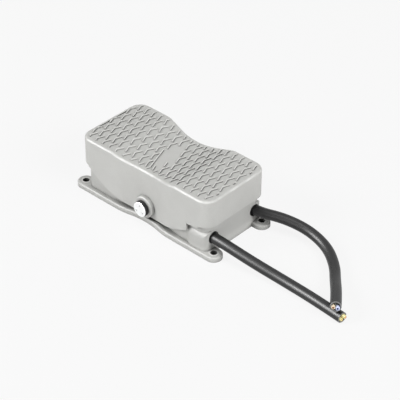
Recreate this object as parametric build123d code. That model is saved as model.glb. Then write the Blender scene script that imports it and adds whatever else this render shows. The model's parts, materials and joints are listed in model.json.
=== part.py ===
"""Foot switch: a cast rocker pedal over a cast base, with a snap-action switch under each end.

X runs along the length, towards the end where the cables leave. Y runs across, and Z is up.
The origin is the middle of the footprint, on the floor. All sizes are in millimetres.
"""
import os
from math import atan2, cos, degrees, pi, radians, sin, sqrt, tan

from build123d import *

os.makedirs("parts", exist_ok=True)

# Overall sizes
LENGTH = 143.0
HEIGHT = 49.0

# Fixing flange and ears
HOLE_SPACING_X = 130.0
HOLE_SPACING_Y = 52.0
HOLE_RADIUS = 2.5
EAR_RADIUS = (LENGTH - HOLE_SPACING_X) / 2
FLANGE_THICKNESS = 4.0
FLANGE_HALF_Y = HOLE_SPACING_Y / 2 + EAR_RADIUS
FLANGE_WAIST = 3.0
FLANGE_WAIST_REACH = 28.0
FLANGE_EDGE_RADIUS = 1.2

# Base tray
BASE_HALF_X = 61.0
BASE_HALF_Y = 28.5
BASE_CORNER = 7.0
BASE_RIM_Z = 28.0
BASE_WALL = 2.5
FLOOR = 2.5
WAIST = 4.6
WAIST_REACH = 38.0

# Pedal shell
PEDAL_HALF_X = 64.0
PEDAL_HALF_Y = 32.0
PEDAL_CORNER = 10.0
PEDAL_SIDE_WALL = 2.2
PEDAL_END_WALL = 1.9
PEDAL_PLATE = 3.0
PEDAL_EDGE_RADIUS = 2.0
APRON_LOW_Z = 5.0
APRON_REACH = 56.0
SKIRT_END_Z = 25.5
TREAD_HEIGHT = 0.8
FACE_Z = HEIGHT - TREAD_HEIGHT
DIP_HALF_X = 31.6
DIP_DEPTH = 4.8
NOTCH_X = 43.8
NOTCH_Z = 22.5
RIB_THICKNESS = 2.0
RIB_LOW_Z = 37.5
RIB_Y = 15.0

# Tread of small raised chevrons
TREAD_PITCH_X = 6.75
TREAD_PITCH_Y = 8.75
TREAD_FIRST_X = -60.9
TREAD_COLUMNS = 19
TREAD_ARM_X = 2.0
TREAD_ARM_Y = 5.2
TREAD_BAR = 0.9
TREAD_ROOT = 1.0
TREAD_MARGIN = 3.4
DASH_X = -61.2
DASH_LENGTH = 10.0
PATCH_CORNERS = [(-1.9, -21.4), (-9.4, 0.5), (-1.5, 17.5), (6.0, -5.0)]
PATCH_BAR_LENGTH = 23.5

# Rocker pivot
PIVOT_Z = 13.8
PIVOT_BOSS_RADIUS = 8.6
PIVOT_BOSS_Y = 31.0
PIVOT_PAD_Y = 24.3
PIVOT_PAD_RADIUS = 6.5
PIVOT_LUG_RADIUS = 7.0
PIVOT_LUG_Y = 17.5
PIVOT_THREAD_RADIUS = 3.0
SHOULDER_RADIUS = 4.0
BUSH_RADIUS = 5.0
BUSH_CLEARANCE = 0.03
BUSH_START_Y = 24.6
WASHER_THICKNESS = 0.4
WASHER_GAP = 0.1
HEAD_Y = 35.0
HEAD_THICKNESS = 3.5
HEAD_RADIUS = 6.1
DIMPLE_RADIUS = 0.8
DIMPLE_CIRCLE = 3.4
DIMPLE_DEPTH = 1.0

# Cable entries
CABLE_DIAMETER = 8.0
CABLE_Y = 22.0
CABLE_Z = 13.6
TUNNEL_SWELL_X = 38.0
TUNNEL_START_X = 46.0
TUNNEL_CROWN_Z = 19.8
TUNNEL_HALF_WIDTH = 8.5
TUNNEL_CORNER = 6.4
TUNNEL_PLAN_CORNER = 5.0
TUNNEL_BLOCK_X = 55.0
EXIT_FACE_X = BASE_HALF_X
EXIT_HOLE_RADIUS = 4.7
GROMMET_END_X = 61.5
GROMMET_BORE_CLEARANCE = 0.05

# Cable clips
CLIP_X = 51.5
CLIP_WIDTH = 4.0
CLIP_THICKNESS = 0.9
CLIP_FOOT_Y = 11.4
CLIP_SCREW_Y = 14.0

# Snap-action switches
SWITCH_X = 24.0
SWITCH_LENGTH = 27.8
SWITCH_WIDTH = 10.3
SWITCH_HEIGHT = 15.9
SWITCH_TOP_Z = 30.0
SWITCH_BOTTOM_Z = SWITCH_TOP_Z - SWITCH_HEIGHT
SWITCH_HOLE_SPAN_X = 22.2
SWITCH_HOLE_SPAN_Z = 10.3
SWITCH_HOLE_RADIUS = 1.55
PLUNGER_X = 31.0
PLUNGER_RADIUS = 2.0
PLUNGER_CLEARANCE = 0.05
PLUNGER_TIP_Z = 32.0
PLUNGER_LENGTH = 6.0
BLADE_WIDTH = 4.8
BLADE_THICKNESS = 0.8
BLADE_LENGTH = 7.5
BLADE_SPACING = 9.0
BRACKET_THICKNESS = 4.0
BRACKET_HALF_X = 13.5

# Screws that press the plungers, and small screws
PRESS_SCREW_RADIUS = 2.5
PRESS_HEAD_Z = 32.3
PRESS_HEAD_HEIGHT = 2.8
PRESS_HEAD_ACROSS = 8.0
PRESS_SCREW_TOP_Z = 43.5
LOCK_NUT_HEIGHT = 2.9
PRESS_BOSS_RADIUS = 4.5
PRESS_BOSS_LOW_Z = 38.0
SMALL_SCREW_RADIUS = 1.5
SMALL_HEAD_RADIUS = 2.75
SMALL_HEAD_HEIGHT = 1.8

# Return springs
SPRING_X = 46.0
SPRING_OUTER_RADIUS = 5.5
SPRING_WIRE = 1.2
SPRING_TURNS = 7
SPRING_POST_RADIUS = 3.8
SPRING_POST_TOP_Z = 8.0
SPRING_POST_LOW_Z = 39.5

# Wires inside, and the cores at the cut ends
WIRE_DIAMETER = 2.0
WIRE_CIRCLE = 1.3
WIRE_Z = 8.5
WIRE_START = 4.0
WIRE_LANES_Y = [11.0, 13.2, 15.4]
CORE_DIAMETER = 2.6
CORE_CIRCLE = 1.65
CORE_LENGTHS = [3.0, 1.6, 2.2]
STRAND_DIAMETER = 1.2
STRAND_LENGTH = 0.8

# Cable routes: the corners that each centreline is rounded at
NEAR_ROUTE = [
    (48.0, -22.0, 13.6), (65.0, -22.0, 13.6), (95.2, -19.5, 5.5),
    (125.6, -15.8, 4.0), (151.9, -17.0, 4.0), (176.2, -19.1, 4.0),
]
FAR_ROUTE = [
    (48.0, 22.0, 13.6), (64.0, 22.0, 13.6), (83.4, 29.9, 13.2), (102.1, 35.7, 8.6), (121.5, 32.5, 5.3),
    (137.3, 21.1, 4.0), (147.9, 8.4, 4.8), (161.3, -7.4, 9.9), (172.0, -21.8, 13.0),
]


def save(name, shape):
    """Writes one sub-part to its own STEP file."""
    export_step(shape, f"parts/{name}.step")


def group(solids):
    """Several separate solids kept as one sub-part."""
    return Compound(children=list(solids))


def bow(radius, half_chord):
    """How far an arc of this radius stands off its chord."""
    return radius - sqrt(radius**2 - half_chord**2)


def arc_radius(half_chord, height):
    """Radius of the arc that stands this high over its chord."""
    return (half_chord**2 + height**2) / (2 * height)


def waist_cut(side_y, depth, reach):
    """The area that a smooth waist takes off a side at side_y: a hollow arc between two rounded ones."""
    quarter = reach / 2
    radius = arc_radius(quarter, depth / 2)
    shoulder_y = side_y - bow(radius, quarter / 2)
    half_y = side_y - depth / 2
    outside_y = side_y + depth
    edges = [
        ThreePointArc((-reach, side_y), (-1.5 * quarter, shoulder_y), (-quarter, half_y)),
        ThreePointArc((-quarter, half_y), (0, side_y - depth), (quarter, half_y)),
        ThreePointArc((quarter, half_y), (1.5 * quarter, shoulder_y), (reach, side_y)),
        Polyline((reach, side_y), (reach, outside_y), (-reach, outside_y), (-reach, side_y)),
    ]
    return make_face(edges)


def waisted_plan(half_x, half_y, corner, depth=WAIST, reach=WAIST_REACH):
    """A rounded rectangle in plan whose two long sides draw in at the middle."""
    cut = waist_cut(half_y, depth, reach)
    return RectangleRounded(2 * half_x, 2 * half_y, corner) - cut - mirror(cut, Plane.XZ)


def prism(plan, low, high):
    """A plan area stood up between two heights."""
    return extrude(Pos(0, 0, low) * plan, amount=high - low)


def along_y(profile, low, high):
    """A side-view area, drawn as (x, z), stretched across between two values of y."""
    return extrude(Plane((0, low, 0), x_dir=(1, 0, 0), z_dir=(0, -1, 0)) * profile, amount=low - high)


def along_x(profile, low, high):
    """An end-view area, drawn as (y, z), stretched lengthwise between two values of x."""
    return extrude(Plane((low, 0, 0), x_dir=(0, 1, 0), z_dir=(1, 0, 0)) * profile, amount=high - low)


def rod_y(x, z, radius, low, high):
    """A round bar across the switch."""
    return Pos(x, (low + high) / 2, z) * Rot(90, 0, 0) * Cylinder(radius, high - low)


def rod_x(y, z, radius, low, high):
    """A round bar along the switch."""
    return Pos((low + high) / 2, y, z) * Rot(0, 90, 0) * Cylinder(radius, high - low)


def rod_z(x, y, radius, low, high):
    """An upright round bar."""
    return Pos(x, y, (low + high) / 2) * Cylinder(radius, high - low)


def block(x, y, z):
    """A box between two limits on each axis."""
    centre = Pos((x[0] + x[1]) / 2, (y[0] + y[1]) / 2, (z[0] + z[1]) / 2)
    return centre * Box(abs(x[1] - x[0]), abs(y[1] - y[0]), abs(z[1] - z[0]))


def tunnel_profile(side, inset=0.0):
    """The arched end view of a cable entry, drawn as (y, z)."""
    half = TUNNEL_HALF_WIDTH - inset
    crown = TUNNEL_CROWN_Z - inset
    corner = TUNNEL_CORNER - inset
    arch = Pos(side * CABLE_Y, crown / 2) * Rectangle(2 * half, crown)
    return fillet(arch.vertices().group_by(Axis.Y)[-1], corner)


def tunnel_plan(side):
    """A cable entry in plan: it swells out of the side wall and rounds the corner of the base."""
    inner = side * (CABLE_Y - TUNNEL_HALF_WIDTH)
    wall = side * (BASE_HALF_Y - BASE_WALL / 2)
    outer = side * (CABLE_Y + TUNNEL_HALF_WIDTH)
    corners = [
        (TUNNEL_SWELL_X, inner),
        (TUNNEL_SWELL_X, wall),
        (TUNNEL_START_X, outer),
        (EXIT_FACE_X, outer),
        (EXIT_FACE_X, inner),
    ]
    plan = make_face(Polyline(*corners, close=True))
    corner = plan.vertices().sort_by_distance((EXIT_FACE_X, outer, 0))[0]
    return fillet(corner, TUNNEL_PLAN_CORNER)


def make_tunnel(side, start_x):
    """The arched block of a cable entry, from start_x to the end face."""
    return along_x(tunnel_profile(side), start_x, EXIT_FACE_X) & prism(tunnel_plan(side), 0, BASE_RIM_Z)


def make_flange():
    """The foot plate: waisted long edges, and an ear round each fixing hole."""
    plan = Rectangle(2 * BASE_HALF_X, 2 * FLANGE_HALF_Y)
    for side_x in (-1, 1):
        for side_y in (-1, 1):
            ear = SlotCenterToCenter(2 * EAR_RADIUS, 2 * EAR_RADIUS)
            plan += Pos(side_x * (HOLE_SPACING_X / 2 - EAR_RADIUS), side_y * HOLE_SPACING_Y / 2) * ear
    cut = waist_cut(FLANGE_HALF_Y, FLANGE_WAIST, FLANGE_WAIST_REACH)
    plan = plan - cut - mirror(cut, Plane.XZ)
    plate = prism(plan, 0, FLANGE_THICKNESS)
    plate = fillet(plate.edges().filter_by(Plane.XY).group_by(Axis.Z)[-1], FLANGE_EDGE_RADIUS)
    for side_x in (-1, 1):
        for side_y in (-1, 1):
            plate -= rod_z(side_x * HOLE_SPACING_X / 2, side_y * HOLE_SPACING_Y / 2, HOLE_RADIUS, -1, 9)
    return plate


def make_base():
    """The cast tray with everything that is cast with it."""
    base = make_flange() + prism(waisted_plan(BASE_HALF_X, BASE_HALF_Y, BASE_CORNER), 0, BASE_RIM_Z)
    for side in (-1, 1):
        base += make_tunnel(side, TUNNEL_SWELL_X)
        base += rod_y(0, PIVOT_Z, PIVOT_PAD_RADIUS, *sorted((side * 20.0, side * PIVOT_PAD_Y)))

    inner = waisted_plan(BASE_HALF_X - BASE_WALL, BASE_HALF_Y - BASE_WALL, BASE_CORNER - BASE_WALL)
    base -= prism(inner, FLOOR, BASE_RIM_Z + 1)
    for side in (-1, 1):
        pocket = along_x(tunnel_profile(side, BASE_WALL), TUNNEL_START_X + BASE_WALL, TUNNEL_BLOCK_X)
        base -= pocket & block((0, 99), (-99, 99), (FLOOR, 99))

    for side in (-1, 1):
        seat_y = (side * (CLIP_FOOT_Y - 1.0), side * (BASE_HALF_Y - 1.0))
        base += block((CLIP_X - 3.0, TUNNEL_BLOCK_X), seat_y, (0, CABLE_Z - CABLE_DIAMETER / 2))
        base += make_tunnel(side, TUNNEL_BLOCK_X)
        base -= rod_x(side * CABLE_Y, CABLE_Z, EXIT_HOLE_RADIUS, TUNNEL_BLOCK_X - 1, EXIT_FACE_X + 1)
        base -= rod_z(CLIP_X, side * CLIP_SCREW_Y, SMALL_SCREW_RADIUS, FLOOR + 1, 20)

        base += rod_y(0, PIVOT_Z, PIVOT_LUG_RADIUS, *sorted((side * PIVOT_LUG_Y, side * 22.5)))
        base -= rod_y(0, PIVOT_Z, PIVOT_THREAD_RADIUS, *sorted((side * 15.0, side * 26.0)))

        base += rod_z(side * SPRING_X, 0, SPRING_POST_RADIUS, FLOOR / 2, SPRING_POST_TOP_Z)
        base += make_bracket(side)
    for side in (-1, 1):
        for x, z in switch_holes(side):
            base -= rod_y(x, z, SMALL_SCREW_RADIUS, -12, 12) & bracket_block(side)
    return base


def bracket_block(side):
    """The upright web that one switch is screwed to."""
    near = -side * SWITCH_WIDTH / 2
    far = -side * (SWITCH_WIDTH / 2 + BRACKET_THICKNESS)
    reach = (side * SWITCH_X - BRACKET_HALF_X, side * SWITCH_X + BRACKET_HALF_X)
    return block(reach, (near, far), (FLOOR / 2, SWITCH_TOP_Z - 1.0))


def make_bracket(side):
    """The web with its two outer corners rounded off, as cast."""
    web = bracket_block(side)
    corners = web.edges().filter_by(Axis.Y).group_by(Axis.Z)[-1]
    return fillet(corners, 3.0)


def switch_holes(side):
    """Centres, as (x, z), of the two screw holes of a switch."""
    middle_z = SWITCH_BOTTOM_Z + SWITCH_HEIGHT / 2
    inner = (side * (SWITCH_X - SWITCH_HOLE_SPAN_X / 2), middle_z + SWITCH_HOLE_SPAN_Z / 2)
    outer = (side * (SWITCH_X + SWITCH_HOLE_SPAN_X / 2), middle_z - SWITCH_HOLE_SPAN_Z / 2)
    return [inner, outer]


def face_curve(rise, half_x):
    """The pedal's top line in side view, moved up by rise: flat, a shallow dip, and flat."""
    radius = arc_radius(DIP_HALF_X, DIP_DEPTH)
    centre_z = FACE_Z - DIP_DEPTH + radius
    level = FACE_Z + rise
    kink = sqrt((radius - rise) ** 2 - (centre_z - level) ** 2)
    return [
        Line((-half_x, level), (-kink, level)),
        ThreePointArc((-kink, level), (0, centre_z - radius + rise), (kink, level)),
        Line((kink, level), (half_x, level)),
    ]


def below_face(rise, half_x, low):
    """The side-view area from a level line up to the top line."""
    top = face_curve(rise, half_x)
    right_end = (half_x, FACE_Z + rise)
    left_end = (-half_x, FACE_Z + rise)
    return make_face(top + [Polyline(right_end, (half_x, low), (-half_x, low), left_end)])


def pedal_side_view():
    """The shell's outer side view: the dipped top, and one long arc between two level stretches below."""
    right_skirt = (APRON_REACH, SKIRT_END_Z)
    left_skirt = (-APRON_REACH, SKIRT_END_Z)
    bottom = [
        Polyline((PEDAL_HALF_X, FACE_Z), (PEDAL_HALF_X, SKIRT_END_Z), right_skirt),
        ThreePointArc(right_skirt, (0, APRON_LOW_Z), left_skirt),
        Polyline(left_skirt, (-PEDAL_HALF_X, SKIRT_END_Z), (-PEDAL_HALF_X, FACE_Z)),
    ]
    return make_face(face_curve(0, PEDAL_HALF_X) + bottom)


def in_patch(x, y):
    """Whether a point is on the plain lozenge in the middle of the tread."""
    turns = []
    for start, end in zip(PATCH_CORNERS, PATCH_CORNERS[1:] + PATCH_CORNERS[:1]):
        turns.append((end[0] - start[0]) * (y - start[1]) - (end[1] - start[1]) * (x - start[0]))
    return max(turns) < 0 or min(turns) > 0


def tread_arm(x, y, side):
    """One arm of a chevron: a bar from its point out to one side, mitred at the point."""
    arm = sqrt(TREAD_ARM_X**2 + TREAD_ARM_Y**2)
    across_x = TREAD_BAR / 2 * TREAD_ARM_Y / arm
    across_y = TREAD_BAR / 2 * TREAD_ARM_X / arm
    mitre = TREAD_BAR / 2 * arm / TREAD_ARM_Y
    end_x = x + TREAD_ARM_X
    end_y = y + side * TREAD_ARM_Y
    corners = [
        (x - mitre, y),
        (x + mitre, y),
        (end_x + across_x, end_y - side * across_y),
        (end_x - across_x, end_y + side * across_y),
    ]
    return make_face(Polyline(*corners, close=True))


def tread_plan():
    """The bars of the tread in plan: staggered rows of chevrons, and the bar along the lozenge's edge."""
    bars = []
    for row in range(-3, 4):
        y = row * TREAD_PITCH_Y
        first_x = TREAD_FIRST_X + (TREAD_PITCH_X / 2 if row % 2 else 0)
        for column in range(TREAD_COLUMNS):
            x = first_x + column * TREAD_PITCH_X
            for side in (-1, 1):
                if not in_patch(x + TREAD_ARM_X / 2, y + side * TREAD_ARM_Y / 2):
                    bars.append(tread_arm(x, y, side))
    start, end = PATCH_CORNERS[0], PATCH_CORNERS[1]
    angle = degrees(atan2(end[1] - start[1], end[0] - start[0]))
    middle = Pos((start[0] + end[0]) / 2, (start[1] + end[1]) / 2)
    bars.append(middle * Rot(0, 0, angle) * Rectangle(PATCH_BAR_LENGTH, TREAD_BAR))
    return bars


def make_tread():
    """The raised bars, following the face and kept off its edge."""
    margin = TREAD_MARGIN
    field = waisted_plan(PEDAL_HALF_X - margin, PEDAL_HALF_Y - margin, PEDAL_CORNER - margin)
    dashes = [Pos(DASH_X, side * TREAD_PITCH_Y) * Rectangle(TREAD_BAR, DASH_LENGTH) for side in (-1, 1)]
    bars = ((Sketch() + tread_plan()) & field) + dashes
    layer = below_face(TREAD_HEIGHT, PEDAL_HALF_X, 0) - below_face(-TREAD_ROOT, PEDAL_HALF_X, 0)
    upright = prism(bars, FACE_Z - DIP_DEPTH - 2 * TREAD_ROOT, HEIGHT + 1)
    return upright & along_y(layer, -PEDAL_HALF_Y, PEDAL_HALF_Y)


def is_rim(edge):
    """Whether an edge of the outer shell runs round its top face."""
    size = edge.bounding_box().size
    centre = edge.center()
    across_the_face = size.X < 0.01 and abs(centre.X) < PEDAL_HALF_X - 1
    upright = size.Z > DIP_DEPTH + 1
    return centre.Z > FACE_Z - DIP_DEPTH - 1 and not across_the_face and not upright


def make_pedal():
    """The cast shell: side view crossed with plan, hollowed, with its bosses, ribs, posts and tread."""
    outer_plan = waisted_plan(PEDAL_HALF_X, PEDAL_HALF_Y, PEDAL_CORNER)
    shell = along_y(pedal_side_view(), -PEDAL_HALF_Y, PEDAL_HALF_Y) & prism(outer_plan, 0, 2 * HEIGHT)
    shell = fillet([edge for edge in shell.edges() if is_rim(edge)], PEDAL_EDGE_RADIUS)

    inner_x = PEDAL_HALF_X - PEDAL_END_WALL
    inner_y = PEDAL_HALF_Y - PEDAL_SIDE_WALL
    inner_plan = waisted_plan(inner_x, inner_y, PEDAL_CORNER - PEDAL_SIDE_WALL)
    under = below_face(-PEDAL_PLATE, PEDAL_HALF_X, 0)
    cavity = along_y(under, -PEDAL_HALF_Y, PEDAL_HALF_Y) & prism(inner_plan, -1, HEIGHT)
    shell -= cavity

    inside = []
    for side in (-1, 1):
        inside.append(rod_z(side * PLUNGER_X, 0, PRESS_BOSS_RADIUS, PRESS_BOSS_LOW_Z, HEIGHT))
        inside.append(rod_z(side * SPRING_X, 0, SPRING_POST_RADIUS, SPRING_POST_LOW_Z, HEIGHT))
        rib_y = (side * RIB_Y, side * (RIB_Y + RIB_THICKNESS))
        inside.append(block((-inner_x, inner_x), rib_y, (RIB_LOW_Z, HEIGHT)))
    for piece in inside:
        shell += piece & cavity

    for side in (-1, 1):
        boss = rod_y(0, PIVOT_Z, PIVOT_BOSS_RADIUS, *sorted((side * 26.0, side * PIVOT_BOSS_Y)))
        outer_edge = boss.edges().sort_by(Axis.Y)[0 if side < 0 else -1]
        shell += chamfer(outer_edge, 0.6)
        shell -= rod_y(0, PIVOT_Z, BUSH_RADIUS, *sorted((side * 20.0, side * 40.0)))
        top_z = PRESS_SCREW_TOP_Z + 0.5
        shell -= rod_z(side * PLUNGER_X, 0, PRESS_SCREW_RADIUS, PRESS_BOSS_LOW_Z - 1, top_z)

    beyond_x = PEDAL_HALF_X + 6.0
    corners = [(NOTCH_X, 0), (NOTCH_X, NOTCH_Z), (beyond_x, SKIRT_END_Z), (beyond_x, 0)]
    notch = make_face(Polyline(*corners, close=True))
    shell -= along_y(notch, -PEDAL_HALF_Y - 1, PEDAL_HALF_Y + 1)
    return shell + make_tread()


def make_pivot_screw(side):
    """A shouldered screw: wide round head with three small dimples, bearing shoulder, and thread."""
    inner_head_y = HEAD_Y - HEAD_THICKNESS
    head = rod_y(0, PIVOT_Z, HEAD_RADIUS, *sorted((side * inner_head_y, side * HEAD_Y)))
    outer_edge = head.edges().sort_by(Axis.Y)[0 if side < 0 else -1]
    screw = fillet(outer_edge, 0.9)
    for index in range(3):
        angle = radians(90 + 120 * index)
        x = DIMPLE_CIRCLE * cos(angle)
        z = PIVOT_Z + DIMPLE_CIRCLE * sin(angle)
        screw -= rod_y(x, z, DIMPLE_RADIUS, *sorted((side * (HEAD_Y - DIMPLE_DEPTH), side * (HEAD_Y + 1))))
    screw += rod_y(0, PIVOT_Z, SHOULDER_RADIUS, *sorted((side * PIVOT_PAD_Y, side * inner_head_y)))
    screw += rod_y(0, PIVOT_Z, PIVOT_THREAD_RADIUS, *sorted((side * (PIVOT_LUG_Y - 0.5), side * PIVOT_PAD_Y)))
    return screw


def make_pivot_washer(side):
    """The thin washer behind the head."""
    outer_y = HEAD_Y - HEAD_THICKNESS
    span = sorted((side * (outer_y - WASHER_THICKNESS), side * outer_y))
    return rod_y(0, PIVOT_Z, HEAD_RADIUS - 0.4, *span) - rod_y(0, PIVOT_Z, SHOULDER_RADIUS, *span)


def make_pivot_bush(side):
    """The bearing bush that turns on the shoulder with the pedal."""
    span = sorted((side * BUSH_START_Y, side * (PIVOT_BOSS_Y - WASHER_GAP)))
    bore = rod_y(0, PIVOT_Z, SHOULDER_RADIUS + BUSH_CLEARANCE, *span)
    return rod_y(0, PIVOT_Z, BUSH_RADIUS, *span) - bore


def make_switch_body(side):
    """The moulded case: two cross holes, and a guide for the plunger."""
    x = side * SWITCH_X
    case = block(
        (x - SWITCH_LENGTH / 2, x + SWITCH_LENGTH / 2),
        (-SWITCH_WIDTH / 2, SWITCH_WIDTH / 2),
        (SWITCH_BOTTOM_Z, SWITCH_TOP_Z),
    )
    case = chamfer(case.edges().filter_by(Axis.Y), 0.8)
    for hole_x, hole_z in switch_holes(side):
        case -= rod_y(hole_x, hole_z, SWITCH_HOLE_RADIUS, -9, 9)
    guide_low = PLUNGER_TIP_Z - PLUNGER_LENGTH - 2.0
    guide_radius = PLUNGER_RADIUS + PLUNGER_CLEARANCE
    return case - rod_z(side * PLUNGER_X, 0, guide_radius, guide_low, SWITCH_TOP_Z + 1)


def make_plunger(side):
    """The button that the press screw pushes down, with a rounded tip."""
    pin = rod_z(side * PLUNGER_X, 0, PLUNGER_RADIUS, PLUNGER_TIP_Z - PLUNGER_LENGTH, PLUNGER_TIP_Z)
    return fillet(pin.edges().group_by(Axis.Z)[-1], 0.8)


def blade_centres(side):
    """Where along X the three blades of a switch stand, from the cable end of the tray inwards."""
    return [side * SWITCH_X + step * BLADE_SPACING for step in (1, 0, -1)]


def make_terminals(side):
    """Three flat blades out of the bottom of the case."""
    blades = []
    for x in blade_centres(side):
        reach = (x - BLADE_WIDTH / 2, x + BLADE_WIDTH / 2)
        thick = (-BLADE_THICKNESS / 2, BLADE_THICKNESS / 2)
        blade = block(reach, thick, (SWITCH_BOTTOM_Z - BLADE_LENGTH, SWITCH_BOTTOM_Z))
        low_corners = blade.edges().filter_by(Axis.Y).group_by(Axis.Z)[0]
        blades.append(chamfer(low_corners, 0.9))
    return group(blades)


def make_switch_screws(side):
    """Two long screws through the case into the web."""
    screws = []
    for x, z in switch_holes(side):
        face = side * SWITCH_WIDTH / 2
        tip = -side * (SWITCH_WIDTH / 2 + BRACKET_THICKNESS)
        shank = rod_y(x, z, SMALL_SCREW_RADIUS, *sorted((face, tip)))
        head = rod_y(x, z, SMALL_HEAD_RADIUS, *sorted((face, face + side * SMALL_HEAD_HEIGHT)))
        screws.append(shank + head)
    return group(screws)


def make_press_screw(side):
    """A hexagon screw in the pedal, set so that its head meets the plunger."""
    hexagon = RegularPolygon(PRESS_HEAD_ACROSS / 2, 6, major_radius=False)
    head = prism(Pos(side * PLUNGER_X, 0) * hexagon, PRESS_HEAD_Z, PRESS_HEAD_Z + PRESS_HEAD_HEIGHT)
    return head + rod_z(side * PLUNGER_X, 0, PRESS_SCREW_RADIUS, PRESS_HEAD_Z + 1, PRESS_SCREW_TOP_Z)


def make_lock_nut(side):
    """The nut that locks the press screw against its boss."""
    hexagon = Pos(side * PLUNGER_X, 0) * RegularPolygon(PRESS_HEAD_ACROSS / 2, 6, major_radius=False)
    ring = hexagon - Pos(side * PLUNGER_X, 0) * Circle(PRESS_SCREW_RADIUS)
    return prism(ring, PRESS_BOSS_LOW_Z - LOCK_NUT_HEIGHT, PRESS_BOSS_LOW_Z)


def make_spring(side):
    """An open coil between the floor of the tray and the underside of the pedal."""
    radius = SPRING_OUTER_RADIUS - SPRING_WIRE / 2
    low = FLOOR + SPRING_WIRE / 2
    high = FACE_Z - PEDAL_PLATE - SPRING_WIRE / 2
    height = high - low
    coil = Helix(height / SPRING_TURNS, height, radius, center=(side * SPRING_X, 0, low))
    section = Plane(origin=coil @ 0, z_dir=coil % 0) * Circle(SPRING_WIRE / 2)
    return sweep(section, path=coil, is_frenet=True)


def make_grommet(side):
    """The rubber sleeve in a cable hole, a little proud of the end face."""
    sleeve = rod_x(side * CABLE_Y, CABLE_Z, EXIT_HOLE_RADIUS, TUNNEL_BLOCK_X, GROMMET_END_X)
    bore_radius = CABLE_DIAMETER / 2 + GROMMET_BORE_CLEARANCE
    return sleeve - rod_x(side * CABLE_Y, CABLE_Z, bore_radius, TUNNEL_BLOCK_X - 1, GROMMET_END_X + 1)


def make_clip(side):
    """A bent strip over the cable with one foot, drawn in end view."""
    reach = CABLE_DIAMETER / 2 + GROMMET_BORE_CLEARANCE
    outer = reach + CLIP_THICKNESS
    low_z = CABLE_Z - CABLE_DIAMETER / 2
    centre = Pos(side * CABLE_Y, CABLE_Z)
    legs_z = Pos(side * CABLE_Y, (low_z + CABLE_Z) / 2)
    strip = centre * Circle(outer) + legs_z * Rectangle(2 * outer, CABLE_Z - low_z)
    strip -= centre * Circle(reach) + legs_z * Rectangle(2 * reach, CABLE_Z - low_z)
    strip -= Pos(side * CABLE_Y, low_z - 10) * Rectangle(40, 20)
    foot_inner = side * CLIP_FOOT_Y
    foot_outer = side * (CABLE_Y - outer + 0.1)
    foot_z = low_z + CLIP_THICKNESS / 2
    strip += Pos((foot_inner + foot_outer) / 2, foot_z) * Rectangle(abs(foot_outer - foot_inner), CLIP_THICKNESS)
    clip = along_x(strip, CLIP_X - CLIP_WIDTH / 2, CLIP_X + CLIP_WIDTH / 2)
    return clip - rod_z(CLIP_X, side * CLIP_SCREW_Y, SMALL_SCREW_RADIUS, 0, 20)


def make_clip_screw(side):
    """The small screw through the clip's foot."""
    foot_top = CABLE_Z - CABLE_DIAMETER / 2 + CLIP_THICKNESS
    shank = rod_z(CLIP_X, side * CLIP_SCREW_Y, SMALL_SCREW_RADIUS, FLOOR + 1.5, foot_top)
    head = rod_z(CLIP_X, side * CLIP_SCREW_Y, SMALL_HEAD_RADIUS, foot_top, foot_top + SMALL_HEAD_HEIGHT)
    return shank + fillet(head.edges().group_by(Axis.Z)[-1], 0.7)


def corner_radii(route):
    """The arc at each corner of a route: as large as its two runs allow."""
    points = [Vector(*point) for point in route]
    radii = []
    for before, corner, after in zip(points, points[1:], points[2:]):
        turn = radians((corner - before).get_angle(after - corner))
        shorter = min((corner - before).length, (after - corner).length)
        radii.append(0.45 * shorter / tan(turn / 2))
    return radii


def tube(route, diameter, largest=None):
    """A round bar along straight runs joined by tangent arcs."""
    radii = corner_radii(route)
    if largest:
        radii = [min(radius, largest) for radius in radii]
    path = FilletPolyline(*route, radius=radii)
    section = Plane(origin=path @ 0, z_dir=path % 0) * Circle(diameter / 2)
    return sweep(section, path=path), path


def make_cable(name, route):
    """One outer cable, from inside the tray to its cut end."""
    solid, path = tube(route, CABLE_DIAMETER)
    radii = ", ".join(f"{radius:.0f}" for radius in corner_radii(route))
    section_area = pi * CABLE_DIAMETER**2 / 4
    shown = path.length - (EXIT_FACE_X - route[0][0])
    share = solid.volume / (section_area * path.length)
    print(f"{name}: {shown:.1f} outside the base, radii {radii}, volume / (section x length) {share:.4f}")
    return solid, path


def make_wires(side):
    """Three insulated cores, from the cable's inner end to the blades of one switch."""
    wires = []
    entry_side = side
    for index, blade_x in enumerate(blade_centres(side)):
        angle = radians(90 + 120 * index)
        start_y = entry_side * CABLE_Y + WIRE_CIRCLE * cos(angle)
        start_z = CABLE_Z + WIRE_CIRCLE * sin(angle)
        lane_y = entry_side * WIRE_LANES_Y[index]
        route = [
            (NEAR_ROUTE[0][0], start_y, start_z),
            (NEAR_ROUTE[0][0] - WIRE_START, start_y, start_z),
            (NEAR_ROUTE[0][0] - 2.5 * WIRE_START, lane_y, WIRE_Z),
            (blade_x, lane_y, WIRE_Z),
            (blade_x, entry_side * BLADE_THICKNESS / 2, WIRE_Z),
        ]
        wires.append(tube(route, WIRE_DIAMETER, largest=6.0)[0])
    return group(wires)


def end_frame(path):
    """The cut face at a cable's far end, with z pointing out along the cable."""
    direction = path % 1
    return Plane(origin=path @ 1, x_dir=direction.cross(Vector(0, 0, 1)), z_dir=direction)


def make_end_pieces(path):
    """The insulated cores that stand out of the cut end, and the copper in each."""
    face = end_frame(path)
    cores = []
    strands = []
    for index, length in enumerate(CORE_LENGTHS):
        angle = radians(90 + 120 * index)
        place = Pos(CORE_CIRCLE * cos(angle), CORE_CIRCLE * sin(angle))
        core = extrude(face * place * Circle(CORE_DIAMETER / 2), amount=length)
        core_end = face.offset(length)
        cores.append(core)
        strands.append(extrude(core_end * place * Circle(STRAND_DIAMETER / 2), amount=STRAND_LENGTH))
    return group(cores), group(strands)


save("base", make_base())
save("pedal", make_pedal())

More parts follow.
